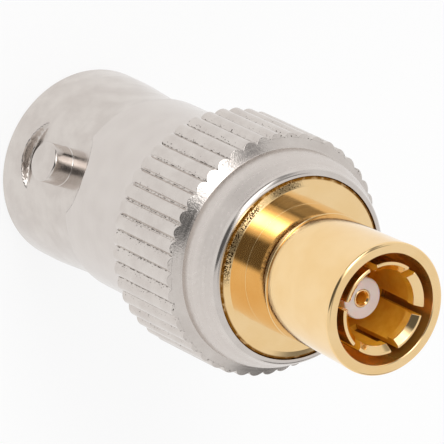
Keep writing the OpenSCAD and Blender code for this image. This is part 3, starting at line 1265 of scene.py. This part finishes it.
@dataclass(frozen=True)
class Card:
    """Upright card of the tent, which is brighter or darker than the rest.

    Attributes:
        azimuth: Direction of its middle about the axis, from +X, in degrees.
        elevation: Height of its middle above the horizon, in degrees.
        half_width: Half of its width in azimuth, in degrees.
        half_height: Half of its height in elevation, in degrees.
        soft: Half of the width of its soft border, in degrees.
        gain: What it adds to the tent's brightness.
    """

    azimuth: float
    elevation: float
    half_width: float
    half_height: float
    soft: float
    gain: float

    def brightness(self, tree: NodeTree, level: NodeSocket, height: NodeSocket) -> NodeSocket:
        """Make the card's brightness.

        It falls off smoothly with the cosine of the angle from its middle in azimuth, and with the distance
        from its middle in elevation.

        Args:
            tree: The world's tree.
            level: Socket with the level part of the direction looked in, of length 1.
            height: Socket with the elevation looked in, in radians.

        Returns:
            Socket with the brightness to add.
        """
        a, e = math.radians(self.azimuth), math.radians(self.elevation)
        middle = (math.cos(a), math.sin(a), 0)
        cosine = node(tree, "VectorMath", {0: level, 1: middle}, out="Value", operation="DOT_PRODUCT")
        wide = math.cos(math.radians(self.half_width + self.soft))
        narrow = math.cos(math.radians(max(self.half_width - self.soft, 0)))
        smooth = "SMOOTHSTEP"
        across = node(tree, "MapRange", {0: cosine, 1: wide, 2: narrow}, interpolation_type=smooth)
        offset = node(tree, "Math", {0: height, 1: e}, operation="SUBTRACT")
        away = node(tree, "Math", {0: offset}, operation="ABSOLUTE")
        far = math.radians(self.half_height + self.soft)
        near = math.radians(max(self.half_height - self.soft, 0))
        fall = {0: away, 1: far, 2: near, 3: 0.0, 4: self.gain}
        up = node(tree, "MapRange", fall, interpolation_type=smooth)
        return node(tree, "Math", {0: across, 1: up}, operation="MULTIPLY")


@dataclass
class LightTent:
    """White floor and a pale tent with soft boxes and dark openings, which the metal mirrors.

    Attributes:
        floor_m: Side of the floor, in metres.
        floor_colour: Colour of the floor's paper, sRGB hex.
        floor_glow: Share of white light in the floor where it is seen or mirrored; the rest is paper, which
            takes the part's shadow.
        level: Brightness of the tent.
        least: Brightness that no dark card goes below.
        cards: Bright and dark cards; each line gives a card's fields in order.
    """

    floor_m: float = 4.0
    floor_colour: str = "#fbfbfb"
    floor_glow: float = 0.85
    level: float = 0.86
    least: float = 0.02
    cards: tuple[Card, ...] = (
        # Soft box beside the part, its bright core, and a long one overhead
        Card(-55, 45, 20, 32, 5, 1.0),
        Card(-55, 52, 9, 12, 7, 4.0),
        Card(-110, 75, 50, 8, 5, 0.7),
        # Opening at the camera, a dark strip overhead, and one along the soft box's far side
        Card(2, 46, 26, 36, 6, -0.74),
        Card(95, 81, 62, 9, 6, -0.45),
        Card(-112, 55, 22, 6, 4, -0.66),
        Card(-89, 32, 8, 18, 5, -0.5),
        # Dark gaps along the horizon
        Card(-80, 8, 8, 9, 5, -0.5),
        Card(-52, 8, 18, 9, 3, -1.2),
        Card(140, 9, 12, 10, 5, -0.6),
    )

    def build(self) -> None:
        """Build the floor and the tent."""
        self._floor()
        self._tent()

    def _floor(self) -> Object:
        """White floor under the part, which glows where it is seen directly or mirrored, and keeps a shadow.

        Returns:
            The floor.
        """
        half = self.floor_m / 2
        corners = [(-half, -half, 0), (half, -half, 0), (half, half, 0), (-half, half, 0)]
        mesh = bpy.data.meshes.new("floor")
        mesh.from_pydata(corners, [], [(0, 1, 2, 3)])
        floor = bpy.data.objects.new("floor", mesh)
        bpy.context.scene.collection.objects.link(floor)
        material = bpy.data.materials.new("white_paper")
        material.use_nodes = True
        tree = material.node_tree
        tree.nodes.remove(tree.nodes["Principled BSDF"])
        path = node(tree, "LightPath").node.outputs
        seen = path["Is Camera Ray"]
        for ray in ("Is Glossy Ray", "Is Transmission Ray"):
            seen = node(tree, "Math", {0: seen, 1: path[ray]}, operation="MAXIMUM")
        share = node(tree, "Math", {0: seen, 1: self.floor_glow}, operation="MULTIPLY")
        paper = node(tree, "BsdfDiffuse", {"Color": linear(self.floor_colour)})
        glow = node(tree, "Emission", {"Color": linear(WHITE_LIGHT), "Strength": 1.0})
        mixed = node(tree, "MixShader", {0: share, 1: paper, 2: glow})
        tree.links.new(mixed, tree.nodes["Material Output"].inputs["Surface"])
        mesh.materials.append(material)
        return floor

    def _tent(self) -> World:
        """Tent of even light, with what its cards add or take away.

        Returns:
            The scene's world.
        """
        world = bpy.data.worlds.new("tent")
        bpy.context.scene.world = world
        world.use_nodes = True
        tree = world.node_tree
        direction = node(tree, "TexCoord", out="Generated")
        axes = node(tree, "SeparateXYZ", {0: direction}).node.outputs
        height = node(tree, "Math", {0: axes["Z"]}, operation="ARCSINE")
        flat = node(tree, "VectorMath", {0: direction, 1: (1, 1, 0)}, operation="MULTIPLY")
        level = node(tree, "VectorMath", {0: flat}, operation="NORMALIZE")
        total: object = self.level
        for card in self.cards:
            part = card.brightness(tree, level, height)
            total = node(tree, "Math", {0: total, 1: part}, operation="ADD")
        kept = node(tree, "Math", {0: total, 1: self.least}, operation="MAXIMUM")
        background = tree.nodes["Background"].inputs
        tree.links.new(kept, background["Strength"])
        background["Color"].default_value = linear(WHITE_LIGHT)
        return world


def main() -> None:
    """Load the frame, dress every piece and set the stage."""
    logging.basicConfig(level=logging.INFO, format="%(message)s")
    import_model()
    for assembly in (JackBody(), JackCore(), PlugShell(), PlugCollet(), PlugCore()):
        for piece in assembly.build():
            mesh = piece.data
            LOG.info("%s: %d vertices, %d faces", piece.name, len(mesh.vertices), len(mesh.polygons))
    PhotoCamera().build()
    LightTent().build()
    bpy.context.scene.view_settings.view_transform = "Standard"


if __name__ == "__main__":
    main()
